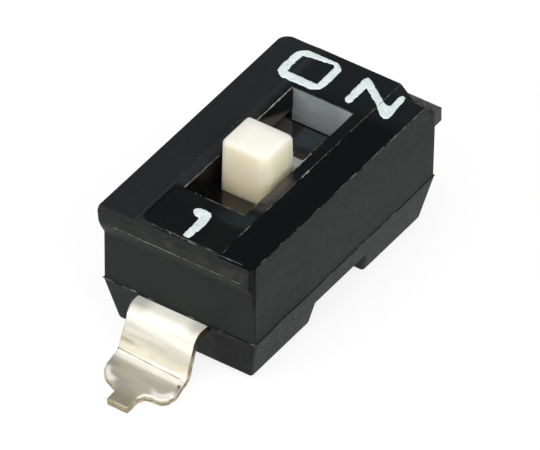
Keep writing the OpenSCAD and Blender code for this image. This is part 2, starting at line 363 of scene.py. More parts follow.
def gloss_plastic(name, dark, light, rough, specular, marks):
    """Polished faces of the same plastic: panel and right band, the slot's left wall, or its floor."""
    g = Graph(name)
    flow(g)
    scuff = g.noise(14, 4, 0.7, stretch=(1, 0.35, 1), move=(2, 7, 1))
    g.color = g.mix(g.ramp(g.cloud, 0.4, 0.6), dark, light)
    g.paint(g.ramp(scuff, 0.62, 0.75, 0, 0.35), tuple(3 * c for c in light))
    navy = tuple(0.7 * c * tint for c, tint in zip(dark, NAVY_TINT))
    g.paint(g.ramp(g.x, PANEL - 0.015, PANEL + 0.015), navy)
    g.paint(g.ramp(g.y, SLOT_REAR - 0.15, SLOT_REAR + 0.45, 0, 0.75), (0.0110, 0.0135, 0.0142))
    # Matte left part, with an uneven border, and the same outside the sunk field's rounded corner
    uneven = g.add(g.vary(g.mottle, -0.05, 0.05), g.ramp(g.y, 0.6, 1.3, 0, 0.10))
    left = g.ramp(g.add(g.x, uneven), -0.60, -0.88)
    left = g.mul(left, g.ramp(g.y, SLOT_FRONT - 0.1, SLOT_FRONT + 0.1), g.ramp(g.nz, *ALONG))
    out_x, out_y = (g.math("MINIMUM", g.add(axis, -at), 0.0) for axis, at in zip((g.x, g.y), FIELD_CORNER))
    turn = g.math("SQRT", g.square_sum(out_x, out_y))
    corner = g.mul(g.ramp(turn, 0.31, 0.345), g.ramp(g.x, -0.45, -0.62), g.ramp(g.nz, *ALONG))
    left = g.highest(left, corner)
    g.paint(left, (0.0098, 0.0122, 0.0128))
    # Painted highlight in the right part of the sunk field, uneven with the scuffs
    field_highlight = g.mul(
        g.ramp(g.x, 0.0, 0.75),
        g.ramp(g.x, PANEL, PANEL - 0.03),
        g.band(g.y, -2.34, -1.9, 0.12),
        g.ramp(scuff, 0.3, 0.55, 0.5, 1.0),
    )
    g.paint(field_highlight, (0.0175, 0.0235, 0.0225))
    marks(g)
    spread = g.add(g.vary(g.mottle, rough - 0.03, rough + 0.04), g.ramp(scuff, 0.6, 0.78, 0, 0.12))
    normal = g.bump(g.mottle, 0.006, 0.35, g.bump(scuff, 0.003, 0.4))
    return g.surface(g.mix(left, spread, (0.45, 0.45, 0.45)), specular=specular, normal=normal)


def flash_and_highlight_plastic(name, dark, pale):
    """The same plastic where a thin edge or fin has whitened; its pale tones also paint highlights along
    edges.
    """
    g = Graph(name)
    spots = g.noise(5, 4, 0.7)
    g.color = g.mix(g.ramp(spots, 0.42, 0.62), dark, pale)
    return g.surface(0.5, specular=0.3, normal=g.bump(spots, 0.004))


def ivory_plastic():
    """The slider's plastic: warmer towards its foot, with light scattered inside, and painted light and shade
    face by face.
    """
    g = Graph("ivory_plastic")
    cloud = g.noise(1.6, 3, 0.5)
    speck = g.noise(9, 4, 0.6)
    height = g.ramp(g.z, 2.55, 3.45)
    over_top = g.ramp(g.z, TOP, TOP + 0.2)
    warm = g.mix(height, lin("e4d1a8"), lin("f2e8cf"))
    g.color = g.mix(g.ramp(cloud, 0.4, 0.65, 0, 0.5), warm, g.mix(height, lin("e8d8b6"), lin("efe5cc")))
    g.paint(g.ramp(g.nx, 0.6, 0.95), lin("fbefd2"))  # painted light: the right face lighter
    g.paint(g.mul(g.band(g.nz, 0.25, 0.90, 0.12), over_top), lin("eae0cb"))  # painted shade on the rounded edge of the top, against its highlight
    g.paint(g.mul(g.ramp(g.nz, 0.70, 1.0), over_top), lin("fcf5e6"))  # top, painted lighter than the sides
    g.paint(g.mul(g.ramp(g.nz, 0.7, 0.95), g.ramp(g.z, TOP - 0.3, TOP - 0.4)), lin("faf6dd"))  # plate
    g.paint(g.ramp(g.nx, -0.15, -0.6), lin("e8e1cf"))  # painted shade: the left face darker
    g.paint(g.mul(g.ramp(g.nz, 0.7, 1.0), g.ramp(g.x, -0.15, -0.5)), lin("f3ecdc"))  # painted shade: the left part of the top darker
    g.paint(g.ramp(speck, 0.6, 0.75, 0, 0.2), lin("dccfae"))
    return g.surface(g.vary(speck, 0.50, 0.60), specular=0.22, normal=g.bump(speck, 0.005, 0.4),
                     sss=0.9, radius=(0.62, 0.60, 0.46))


# Painted bands of reflected light and shade across the terminal outside the housing: their borders in y, and
# the softness of these
SHOULDER = (-3.62, -3.47, 0.03)  # painted highlight over the bend at the root
HIGH = (-3.755, -3.67, 0.025)  # painted highlight at the upper end of the web
# painted reflection, darker, across the web
WEB = (-3.965, -3.785, 0.04)
WARM = (-4.02, -3.90, 0.05)  # painted highlight, yellower, at the foot of the web
WEB_DARK_LINE = (-3.94, -3.905, 0.025)
FOLD = (-4.038, -4.018, 0.007)  # painted shade: dark hairline in the crease where the foot is folded
# painted highlight under the fold
UNDER_FOLD = (-4.20, -4.05, 0.05)
LEFT_CORNER = (-4.44, -4.34, 0.07)  # painted shadow on the left wing
ROOT_START, ROOT_END = -3.60, -3.42
FOOT_START, FOOT_END = -4.12, -4.38
TIP_START, TIP_END = -4.7, -5.1
SPOT_X, SPOT_Y = 0.70, -4.225
# Rolled edges of the foot's wings: middle of the ring, its radii and softness, and where it starts in x and y
LEFT_WING = (-0.55, -4.42, 0.235, 0.345, 0.04, (-0.44, -0.60), (-4.40, -4.54))
RIGHT_WING = (0.44, -4.40, 0.19, 0.305, 0.045, (0.20, 0.42), (-4.36, -4.50))
LEAN, LEAN_X = 0.036, 0.17  # the strip's fold runs slightly across it, and the bands with it


def wing(g, x, y, inner, outer, soft, x_range, y_range):
    """Mask of the rolled edge of a wing of the foot: a part of a ring around x, y."""
    ring = g.band(g.math("SQRT", g.from_point(x, y)), inner, outer, soft)
    return g.mul(ring, g.ramp(g.x, *x_range), g.ramp(g.y, *y_range))


def plated():
    """Satin silver-tin plating with painted bands of reflected light and shade, a yellower painted highlight
    by the fold, and small darker spots.
    """
    g = Graph("plated_terminal")
    streak = g.noise(3.2, 4, 0.65, stretch=(3.2, 0.5, 0.5))
    across = g.noise(2.4, 4, 0.6, stretch=(0.6, 2.6, 2.6), move=(2, 0, 5))
    blot = g.noise(2.0, 4, 0.6, move=(4, 2, 1))
    fine = g.noise(30, 3, 0.6, stretch=(2, 0.7, 0.7))
    lean = g.add(g.y, g.mul(g.x, LEAN))
    g.color = g.mix(g.ramp(blot, 0.35, 0.65), (0.80, 0.765, 0.665), (0.74, 0.705, 0.61))
    g.paint(g.ramp(streak, 0.5, 0.75, 0, 0.35), (0.72, 0.66, 0.52))
    # Painted light: the root lighter, lightest in its middle
    root = g.ramp(lean, ROOT_START, ROOT_END)
    middle = g.band(g.x, -0.60, 0.42, 0.16)
    pale = g.mix(middle, (0.80, 0.775, 0.69), (1.0, 0.97, 0.875))
    dull = g.mix(middle, (0.745, 0.72, 0.64), (0.93, 0.90, 0.80))
    g.paint(root, g.mix(g.ramp(across, 0.4, 0.6), pale, dull))
    # Painted highlights over the root bend and at the upper end of the web
    shoulder = g.band(lean, *SHOULDER)
    g.paint(g.mul(shoulder, middle), (1.0, 0.97, 0.89))
    high = g.band(lean, *HIGH)
    g.paint(high, (0.93, 0.90, 0.80))
    # Painted reflection darkening the web, a yellower painted highlight at its foot, and another under the
    # fold
    g.paint(g.mul(g.band(lean, *WEB), g.ramp(across, 0.35, 0.65, 0.25, 0.9)), (0.62, 0.585, 0.49))
    g.paint(g.mul(g.band(lean, *WARM), g.patchy(blot, 0.4)), (0.88, 0.83, 0.66))
    under_fold = g.mul(g.band(lean, *UNDER_FOLD), g.patchy(across, 0.7))
    g.paint(under_fold, (0.97, 0.94, 0.85))
    # Greyer, darker foot, darker still at the tip
    grey = g.mix(g.ramp(across, 0.38, 0.62), (0.72, 0.675, 0.56), (0.63, 0.59, 0.485))
    g.paint(g.ramp(lean, FOOT_START, FOOT_END), grey)
    g.paint(g.ramp(lean, TIP_START, TIP_END), (0.46, 0.425, 0.31))
    # Painted highlight on the rolled edges of the wings
    wings = g.highest(wing(g, *LEFT_WING), wing(g, *RIGHT_WING))
    g.paint(g.mul(wings, 0.9), (0.98, 0.96, 0.90))
    # Darker brown line across the left half of the web, and painted shadow on the left wing
    near_left = g.ramp(g.add(g.x, g.vary(blot, -0.2, 0.2)), -0.1, -0.85)
    g.paint(g.mul(g.band(lean, *WEB_DARK_LINE), near_left, 0.75), (0.34, 0.30, 0.20))
    g.paint(g.mul(g.band(lean, *LEFT_CORNER), g.ramp(g.x, -0.56, -0.78), 0.6), (0.36, 0.335, 0.27))
    # Painted shade along the crease: an uneven dark hairline
    waver = g.add(lean, g.vary(fine, -0.004, 0.004))
    line = g.mul(g.band(waver, *FOLD), g.ramp(g.x, 0.66, 0.5), g.ramp(blot, 0.3, 0.6, 0.2, 0.85))
    g.paint(line, (0.12, 0.10, 0.07))
    # Brown spot beside the right wing
    far = g.add(g.from_point(SPOT_X, SPOT_Y), g.vary(g.noise(14, 2, 0.5), -0.0024, 0.0024))
    g.paint(g.ramp(far, 0.0042, 0.0002, 0, 0.9), (0.16, 0.125, 0.075))
    # The bright places reflect less like a mirror
    soft = g.highest(root, g.mul(wings, 0.9), g.mul(g.highest(high, shoulder, under_fold), 0.8))
    metal = g.mix(soft, (0.78, 0.78, 0.78), (0.3, 0.3, 0.3))
    metal = g.mix(g.mul(root, middle), metal, (0.05, 0.05, 0.05))
    normal = g.bump(across, 0.010, 0.5, g.bump(fine, 0.002, 0.5))
    return g.surface(g.vary(fine, 0.42, 0.52), metallic=metal, normal=normal)


def cut_brass():
    """Sheared brass edge under the plating, brown in the hollows."""
    g = Graph("cut_brass")
    grit = g.noise(7, 4, 0.7, stretch=(1, 1, 2.5))
    fine = g.noise(34, 3, 0.6)
    g.color = g.mix(g.ramp(grit, 0.38, 0.62), (0.56, 0.49, 0.34), (0.20, 0.155, 0.085))
    g.paint(g.mul(g.ramp(g.z, 0.60, 0.90), g.ramp(g.y, -4.1, -4.0)), (0.06, 0.045, 0.022))
    tip = g.mix(g.ramp(grit, 0.35, 0.6), (0.42, 0.38, 0.25), (0.30, 0.265, 0.15))
    g.paint(g.ramp(g.y, -5.05, -5.15), tip)
    return g.surface(g.vary(fine, 0.45, 0.6), metallic=0.7, specular=0.4,
                     normal=g.bump(grit, 0.02, 0.6, g.bump(fine, 0.004, 0.5)))


def gold():
    """Plating of the moving contact."""
    g = Graph("gold_plate")
    fine = g.noise(22, 3, 0.6, stretch=(0.5, 2, 1))
    g.color = g.mix(g.ramp(fine, 0.4, 0.65), (0.83, 0.62, 0.27), (0.72, 0.52, 0.22))
    return g.surface(g.vary(fine, 0.22, 0.34), metallic=1.0, normal=g.bump(fine, 0.002))


def ink():
    """Thick white print with a cool tint and small thin places."""
    g = Graph("white_ink")
    speck = g.noise(16, 4, 0.7)
    cloud = g.noise(4, 3, 0.6)
    g.color = g.mix(g.ramp(cloud, 0.4, 0.62), lin("e2edec"), lin("d8e3e4"))
    g.paint(g.ramp(speck, 0.54, 0.72, 0, 0.6), lin("97a3a5"))
    return g.surface(0.6, specular=0.3, normal=g.bump(speck, 0.006))


black_cover = black_plastic("black_cover", cover_marks_and_shade)
black_base = black_plastic("black_base", base_marks_and_shade)
panel_gloss = gloss_plastic("panel_gloss", dark=(0.0034, 0.0048, 0.0054), light=(0.0056, 0.0062, 0.0064),
                            rough=0.14, specular=0.5, marks=panel_reflection)
wall_gloss = gloss_plastic("wall_gloss", dark=(0.0030, 0.0032, 0.0030), light=(0.0050, 0.0046, 0.0038),
                           rough=0.34, specular=0.12, marks=wall_marks)
floor_gloss = gloss_plastic("floor_gloss", dark=(0.0040, 0.0038, 0.0032), light=(0.0065, 0.0058, 0.0044),
                            rough=0.12, specular=0.8, marks=floor_marks_and_reflection)
dim_flash_and_highlight = flash_and_highlight_plastic("flash_and_highlight_plastic", (0.040, 0.043, 0.038), (0.155, 0.158, 0.145))
bright_flash_and_highlight = flash_and_highlight_plastic("bright_flash_and_highlight", (0.13, 0.13, 0.12), (0.36, 0.36, 0.33))
ivory = ivory_plastic()
plate = plated()
brass_edge = cut_brass()
contact_gold = gold()
white_ink = ink()


# ------------------------ mesh helpers
WELD = 0.0008  # vertices of a CAD mesh closer than this are merged, mm
FLAT_DEG = 0.6  # its faces that lean less than this are one flat face
SHARP_DEG, SHORT = 24, 0.12  # edges blunter or shorter than this stay as they are
NOISE_SHIFT = 7.3


def clamp(value):
    return min(1.0, max(0.0, value))


def mesh_object(name, bm, materials):
    """Makes an object from a mesh built in mm."""
    for v in bm.verts:
        v.co *= MM
    mesh = bpy.data.meshes.new(name)
    bm.to_mesh(mesh)
    bm.free()
    obj = bpy.data.objects.new(name, mesh)
    bpy.context.scene.collection.objects.link(obj)
    for material in materials:
        mesh.materials.append(material)
    return obj


def new_object(name, bm, materials, body, stands_for=(), smooth=32, turn=0.0):
    """Makes a piece of the part and hangs it on its body."""
    obj = mesh_object(name, bm, materials)
    obj.rotation_euler.z = turn
    obj.data.shade_smooth()
    obj.data.set_sharp_from_angle(angle=math.radians(smooth))
    if stands_for:
        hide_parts(*stands_for)
    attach(obj, body)
    return obj


def from_cad(node):
    """The CAD node's mesh in mm, with its flat faces made whole."""
    bm = bmesh.new()
    bm.from_mesh(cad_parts[node].data)
    for v in bm.verts:
        v.co /= MM
    bmesh.ops.remove_doubles(bm, verts=bm.verts, dist=WELD)
    bmesh.ops.dissolve_limit(bm, angle_limit=math.radians(FLAT_DEG), verts=bm.verts, edges=bm.edges)
    return bm


def bevel_by_rule(bm, rule):
    """Weighs each sharp edge by the width rule gives for its middle and direction; returns the widest."""
    weight = bm.edges.layers.float.new("bevel_weight_edge")
    widths = {}
    for e in bm.edges:
        sharp = len(e.link_faces) == 2 and math.degrees(e.calc_face_angle(0)) >= SHARP_DEG
        if not sharp or e.calc_length() < SHORT:
            continue
        a, b = e.verts[0].co, e.verts[1].co
        w = rule((a + b) / 2, (b - a).normalized())
        if w > 0:
            widths[e] = w
    widest = max(widths.values())
    for e, w in widths.items():
        e[weight] = w / widest
    return widest


def add_bevel(obj, width, segments):
    """Rounds the weighted edges and keeps the flat faces flat in their shading."""
    m = obj.modifiers.new("edges", "BEVEL")
    m.limit_method = "WEIGHT"
    m.width = width * MM
    m.segments = segments
    m.use_clamp_overlap = False
    m.offset_type = "OFFSET"
    m.harden_normals = False
    m.miter_outer = "MITER_SHARP"
    m = obj.modifiers.new("flat_faces", "WEIGHTED_NORMAL")
    m.weight = 80
    m.keep_sharp = True


def wave(x, y, z, freq, seed):
    """Smooth noise from -1 to 1."""
    return noise.noise(Vector((x * freq + NOISE_SHIFT + seed, y * freq - seed, z * freq + 2 * seed)))


def bridge(bm, lower, upper):
    """Faces between two rings of vertices."""
    made = []
    for i in range(len(lower)):
        j = (i + 1) % len(lower)
        made.append(bm.faces.new((lower[i], lower[j], upper[j], upper[i])))
    return made


# ------------------------ cover and base
# Widths of the rounded edges, in mm
SLOT_RIM, SEAM_RIM, PANEL_RIM, SIDE_RIM = 0.02, 0.004, 0.006, 0.03
RAIL_EDGE, UPRIGHT, PLAIN_EDGE = 0.012, 0.05, 0.025
BASE_RIM, FOOT_EDGE, CHANNEL_EDGE, BASE_UPRIGHT = 0.016, 0.09, 0.08, 0.07


def cover_rule(m, d):
    """Width for a cover edge with middle m and direction d."""
    on_top = m.z > TOP - 0.06
    on_side = abs(m.x) > HALF_W - 0.02
    if SLOT_L - 0.03 < m.x < SLOT_R + 0.03 and SLOT_FRONT - 0.03 < m.y < SLOT_REAR + 0.03:
        return SLOT_RIM if m.z > TOP - 0.1 else 0.0
    if m.z < SEAM + 0.01:
        return 0.0 if abs(m.x) < HALF_W - 0.1 and abs(m.y) < HALF_L - 0.1 else SEAM_RIM
    if on_top and m.y < -HALF_L:  # the lip is round already
        return 0.0
    if on_top and abs(abs(m.x) - PANEL) < 0.02:
        return PANEL_RIM
    if on_top and abs(m.x) < FIELD_HALF_W + 0.02 and m.y < SLOT_FRONT:
        return PANEL_RIM
    if on_top and on_side:
        return SIDE_RIM
    if m.z > TOP - 0.5 and m.y > HALF_L - 0.5:
        return RAIL_EDGE
    if on_side and abs(m.y) > HALF_L - 0.03 and abs(d.z) > 0.9:
        return UPRIGHT
    return PLAIN_EDGE


bm = from_cad("cover")
width = bevel_by_rule(bm, cover_rule)
for face in bm.faces:
    middle = face.calc_center_median()
    on_panel = face.normal.z > 0.9 and middle.z > TOP - 0.06 and middle.x > -1.0
    slot_side = face.normal.x > 0.9 and abs(middle.x - SLOT_L) < 0.02 and SLOT_FRONT < middle.y < SLOT_REAR
    face.material_index = 1 if on_panel else 2 if slot_side else 0
cover = new_object("cover_shell", bm, [black_cover, panel_gloss, wall_gloss], "housing",
                   ("cover",))
add_bevel(cover, width, 3)


def base_rule(m, d):
    """Width for a base edge with middle m and direction d."""
    if m.z > SEAM - 0.02:
        outside = abs(m.x) > HALF_W - 0.1 or abs(m.y) > HALF_L - 0.1
        return BASE_RIM if m.z < SEAM + 0.1 and outside else 0.0
    if m.z < FOOT + 0.01:
        outside = abs(m.x) > HALF_W - 0.4 or abs(m.y) > HALF_L - 0.4
        return FOOT_EDGE if outside or abs(d.x) > 0.9 else 0.0
    if m.z < FOOT + 0.6 and abs(m.y) < 1.0:
        return CHANNEL_EDGE
    if abs(m.x) > HALF_W - 0.3 and abs(m.y) > HALF_L - 0.3:
        return BASE_UPRIGHT
    return 0.0


bm = from_cad("base")
width = bevel_by_rule(bm, base_rule)
for face in bm.faces:
    if face.normal.z > 0.9 and face.calc_center_median().z > FLOOR - 0.3:
        face.material_index = 1
base = new_object("base_body", bm, [black_base, floor_gloss], "housing", ("base",))
add_bevel(base, width, 4)


# ------------------------ knob
KNOB_HALF_X, KNOB_HALF_Y = 0.578, 0.50  # half sizes of its top
KNOB_DRAFT = 0.022  # how much wider each side is at the foot
KNOB_TOP_R = 0.10  # rounding of the top's edge
# Its corners: the sides they are on, the angle at which they start, and the radius
KNOB_CORNERS = ((1, 1, 0, 0.16), (-1, 1, 90, 0.08), (-1, -1, 180, 0.15), (1, -1, 270, 0.26))
SMALLEST_R = 0.03
SIDE_STEPS, TOP_STEPS, CORNER_STEPS = 6, 8, 9
PLATE_HALF_W, PLATE_NOSE, PLATE_TOP = 1.05, 0.05, FLOOR + 0.145
LEG_HALF_W, LEG_HALF_L, LEG_TOP = 0.33, 0.18, FLOOR + 0.04


def knob_mesh():
    """A tapered block with a rounded top edge and a different radius at each corner."""
    bm = bmesh.new()
    z_top = slider_hi.z
    side = z_top - KNOB_TOP_R - PLATE_Z
    levels = [(PLATE_Z + side * i / SIDE_STEPS, 0.0) for i in range(SIDE_STEPS + 1)]
    levels += [
        (z_top - KNOB_TOP_R + KNOB_TOP_R * math.sin(a), KNOB_TOP_R * (1 - math.cos(a)))
        for a in (math.radians(90 * i / TOP_STEPS) for i in range(1, TOP_STEPS + 1))
    ]
    previous = None
    for z, inset in levels:
        spread = KNOB_DRAFT * (z_top - z) / (z_top - PLATE_Z)
        ax, ay = KNOB_HALF_X + spread - inset, KNOB_HALF_Y + spread - inset
        ring = []
        for sx, sy, start, corner_r in KNOB_CORNERS:
            r = max(corner_r - inset * 0.6, SMALLEST_R)
            for k in range(CORNER_STEPS + 1):
                a = math.radians(start + 90 * k / CORNER_STEPS)
                ring.append(bm.verts.new((sx * (ax - r) + r * math.cos(a),
                                          KNOB_Y + sy * (ay - r) + r * math.sin(a), z)))
        if previous:
            bridge(bm, previous, ring)
        else:
            bm.faces.new(list(reversed(ring)))
        previous = ring
    inner = [bm.verts.new((v.co.x * 0.5, KNOB_Y + (v.co.y - KNOB_Y) * 0.5, z_top)) for v in previous]
    bridge(bm, previous, inner)
    bm.faces.new(inner)
    return bm


def add_box(bm, lo, hi, bevel):
    made = bmesh.ops.create_cube(bm, size=1.0)
    for v in made["verts"]:
        v.co = Vector((lo[i] + (v.co[i] + 0.5) * (hi[i] - lo[i]) for i in range(3)))
    edges = list({e for v in made["verts"] for e in v.link_edges})
    bmesh.ops.bevel(bm, geom=edges, offset=bevel, segments=3, profile=0.5, affect="EDGES")


bm = knob_mesh()
add_box(bm, (-PLATE_HALF_W, KNOB_Y - PLATE_NOSE, PLATE_Z), (PLATE_HALF_W, slider_hi.y, PLATE_TOP), 0.025)
add_box(bm, (-LEG_HALF_W, KNOB_Y - LEG_HALF_L, slider_lo.z), (LEG_HALF_W, KNOB_Y + LEG_HALF_L, LEG_TOP), 0.02)
new_object("knob", bm, [ivory], "slide_knob", ("slider",))

# The moving contact keeps its CAD mesh and gets its own plating
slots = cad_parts["moving_contact"].data.materials
slots.clear()
slots.append(contact_gold)


# ------------------------ printed marks
INK_THICK = 0.012
INK_STEP = 0.012  # size of its grid's cells
INK_RIM = 0.04  # width over which it rises
INK_LIFT, INK_SUNK = 0.001, 0.006  # start of the rim over the face, and depth of the underside


def inside_polygon(points):
    """Signed distance to a closed outline, negative inside."""
    def distance(x, y):
        best, inside = 1e9, False
        for i in range(len(points)):
            (x1, y1), (x2, y2) = points[i - 1], points[i]
            dx, dy = x2 - x1, y2 - y1
            t = max(0.0, min(1.0, ((x - x1) * dx + (y - y1) * dy) / (dx * dx + dy * dy)))
            best = min(best, math.hypot(x - x1 - t * dx, y - y1 - t * dy))
            if (y1 > y) != (y2 > y) and x < x1 + (y - y1) * dx / dy:
                inside = not inside
        return -best if inside else best
    return distance


def rounded_box(cx, cy, hx, hy, r):
    """Signed distance to a rounded rectangle, negative inside."""
    def distance(x, y):
        qx, qy = abs(x - cx) - hx + r, abs(y - cy) - hy + r
        return math.hypot(max(qx, 0), max(qy, 0)) + min(max(qx, qy), 0) - r
    return distance


def surface_z(x, y):
    """Height of the top face under the print."""
    if y < SLOT_FRONT and abs(x) < FIELD_HALF_W:
        return TOP - FIELD_DROP
    return TOP - BAND_DROP * clamp((x - PANEL + 0.005) / 0.01)


def cut_sheet(bm, field, xs, ys, places, wall_index=0):
    """One sheet for each place function over the inside of a field, with a wall between two sheets."""
    values = [[field(x, y) for y in ys] for x in xs]
    caches = [{} for _ in places]
    rim = []

    def vertex(layer, key, x, y, depth):
        cache = caches[layer]
        if key not in cache:
            cache[key] = bm.verts.new(places[layer](x, y, depth))
        return cache[key]

    for i in range(len(xs) - 1):
        for j in range(len(ys) - 1):
            corners = [(i, j), (i + 1, j), (i + 1, j + 1), (i, j + 1)]
            inside = [values[a][b] < 0 for a, b in corners]
            if not any(inside):
                continue
            ring, crossings = [], []
            for k in range(4):
                a, b = corners[k], corners[(k + 1) % 4]
                va, vb = values[a[0]][a[1]], values[b[0]][b[1]]
                if va < 0:
                    ring.append((a, xs[a[0]], ys[a[1]], va))
                if (va < 0) != (vb < 0):
                    t = va / (va - vb)
                    x = xs[a[0]] + t * (xs[b[0]] - xs[a[0]])
                    y = ys[a[1]] + t * (ys[b[1]] - ys[a[1]])
                    ring.append(((min(a, b), max(a, b)), x, y, 0.0))
                    crossings.append((ring[-1], va < 0))
            for layer in range(len(places)):
                made = [vertex(layer, *item) for item in ring]
                bm.faces.new(made if layer == 0 else list(reversed(made)))
            if len(crossings) == 2:
                first, second = crossings
                rim.append((first[0], second[0]) if first[1] else (second[0], first[0]))
    if len(places) == 2:
        for p, q in rim:
            face = bm.faces.new((vertex(0, *q), vertex(0, *p), vertex(1, *p), vertex(1, *q)))
            face.material_index = wall_index


def stations(low, high, step):
    """Evenly spaced values from low to high, about a step apart."""
    count = max(1, round((high - low) / step))
    return [low + (high - low) * i / count for i in range(count + 1)]


def print_mark(name, distance, low, high, seed, ragged=0.015, shrink=0.0):
    """A thin raised print: the inside of a distance field, with uneven edges and a rounded rim."""
    bm = bmesh.new()

    def field(x, y):
        rough_edge = wave(x, y, 0, 9, seed) + 0.7 * wave(x, y, 0, 24, seed) + 0.5 * wave(x, y, 0, 50, seed)
        return distance(x, y) + shrink + ragged * rough_edge

    def place(x, y, depth):
        lift = INK_THICK * clamp(-depth / INK_RIM) ** 0.5 * (1 + 0.3 * wave(x, y, 1, 14, seed))
        return (x, y, surface_z(x, y) + INK_LIFT + lift)

    def sunk(x, y, _depth):
        return (x, y, surface_z(x, y) - INK_SUNK)

    xs, ys = (stations(low[i], high[i], INK_STEP) for i in range(2))
    cut_sheet(bm, field, xs, ys, [place, sunk])
    new_object(name, bm, [white_ink], "housing", smooth=60)


# The O is a rounded box less an uneven hole; the other two are outlines
outer = rounded_box(-0.75, 2.512, 0.558, 0.503, 0.27)
inner = inside_polygon([
    (-1.075, 2.255), (-1.11, 2.47), (-1.095, 2.80), (-0.45, 2.89), (-0.405, 2.85), (-0.39, 2.25),
])


def letter_o(x, y):
    return max(outer(x, y), 0.025 - inner(x, y))


print_mark("legend_O", letter_o, (-1.42, 1.9), (-0.05, 3.14), seed=1.0)
letter_n = [
    (0.335, 2.17), (0.39, 2.09), (0.50, 2.08), (0.54, 2.16), (0.535, 2.32), (0.535, 2.67), (0.955, 2.372),
    (1.23, 2.13), (1.32, 2.10), (1.41, 2.13), (1.435, 2.24), (1.415, 2.40), (1.375, 2.82), (1.32, 2.915),
    (1.24, 2.93), (1.195, 2.85), (1.218, 2.52), (1.14, 2.50), (0.948, 2.62), (0.46, 2.97), (0.37, 3.0),
    (0.315, 2.92), (0.31, 2.80),
]
print_mark("legend_N", inside_polygon(letter_n), (0.26, 2.02), (1.52, 3.08), shrink=0.012, seed=2.0)
digit_1 = [
    (-0.225, -2.38), (-0.20, -2.29), (-0.12, -2.25), (0.02, -2.245), (0.14, -2.26), (0.205, -2.33),
    (0.255, -2.5), (0.265, -2.76), (0.235, -2.95), (0.232, -3.10), (0.215, -3.17), (0.045, -3.165),
    (0.035, -3.06), (0.03, -2.95), (0.03, -2.75), (0.01, -2.53), (-0.07, -2.54), (-0.15, -2.50),
]
print_mark("legend_1", inside_polygon(digit_1), (-0.3, -3.2), (0.34, -2.17), ragged=0.012, shrink=0.014,
           seed=3.0)


# ------------------------ terminals
STRIP = 0.17  # thickness
ROOT_Y, ROOT_Z, BEND_R = 3.4, FOOT + 0.75, 0.32  # bend at the housing: its centre and outer radius
DROP, SLOPE = math.radians(64.7), math.radians(6.8)  # fall of the web and of the foot
CREASE_Y, CREASE_Z, CREASE_R = 4.007, FOOT + 0.215, 0.12  # corner that the crease rounds, inner radius
TONGUE_HALF, WIDER_P = 0.25, 2.45  # half width of the tongue, and the length at which the strip widens
FREE_P, RAGGED_P, END_P = 2.5, 3.3, 5.9  # where rolled edges and uneven edges start; past the tip
EDGE_ROLL, WING_ROLL = 0.018, 0.040  # radius of the rolled edges, and how much more on the wings
DIP, DIP_AT, DIP_W = 0.012, 0.16, 0.09  # shallow dip under the root bend: depth, place, width
# Outline of the front foot, seen from above
FOOT_LINE = [
    (-0.965, -4.13), (-0.945, -4.41), (-0.90, -4.56), (-0.825, -4.675), (-0.717, -4.757), (-0.571, -4.815),
    (-0.455, -4.855), (-0.385, -4.905), (-0.358, -4.975), (-0.365, -5.235), (0.135, -5.25), (0.139, -5.03),
    (0.162, -4.899), (0.241, -4.784), (0.35, -4.744), (0.49, -4.749), (0.613, -4.73), (0.715, -4.637),
    (0.768, -4.457), (0.755, -4.30), (0.728, -4.15),
]


def strip_line():
    """The strip's upper line: a function from length to (y, z, tilt), the lengths at which its root bend,
    web, crease and foot start, and the foot's y there."""
    half_turn, lean = (DROP - SLOPE) / 2, (DROP + SLOPE) / 2
    bend_y = CREASE_Y + CREASE_R / math.cos(half_turn) * math.sin(lean)
    bend_z = CREASE_Z + CREASE_R / math.cos(half_turn) * math.cos(lean)
    web_start = (ROOT_Y + BEND_R * math.sin(DROP), ROOT_Z + BEND_R * math.cos(DROP))
    web_end = (bend_y - CREASE_R * math.sin(DROP), bend_z - CREASE_R * math.cos(DROP))
    foot_start = (bend_y - CREASE_R * math.sin(SLOPE), bend_z - CREASE_R * math.cos(SLOPE))
    a = ROOT_Y
    b = a + BEND_R * DROP
    c = b + math.dist(web_start, web_end)
    d = c + CREASE_R * (DROP - SLOPE)

    def at(p):
        if p < a:
            return p, ROOT_Z + BEND_R, 0.0
        if p < b:
            t = (p - a) / BEND_R
            return ROOT_Y + BEND_R * math.sin(t), ROOT_Z + BEND_R * math.cos(t), t
        if p < c:
            return web_start[0] + (p - b) * math.cos(DROP), web_start[1] - (p - b) * math.sin(DROP), DROP
        if p < d:
            t = DROP - (p - c) / CREASE_R
            return bend_y - CREASE_R * math.sin(t), bend_z - CREASE_R * math.cos(t), t
        return foot_start[0] + (p - d) * math.cos(SLOPE), foot_start[1] - (p - d) * math.sin(SLOPE), SLOPE

    return at, (a, b, c, d), foot_start[0]


strip_at, (P_ROOT, P_WEB, P_CREASE, P_FOOT), FOOT_Y = strip_line()


def skew(x, p):
    """How far the fold's lean moves a point along the strip."""
    return LEAN * (x + LEAN_X) * clamp((p - P_ROOT) / 0.4)


def flat(x, y):
    """A point of the foot seen from above, as x and length along the strip."""
    p = P_FOOT + (-y - FOOT_Y) / math.cos(SLOPE)
    return x, p + skew(x, p)


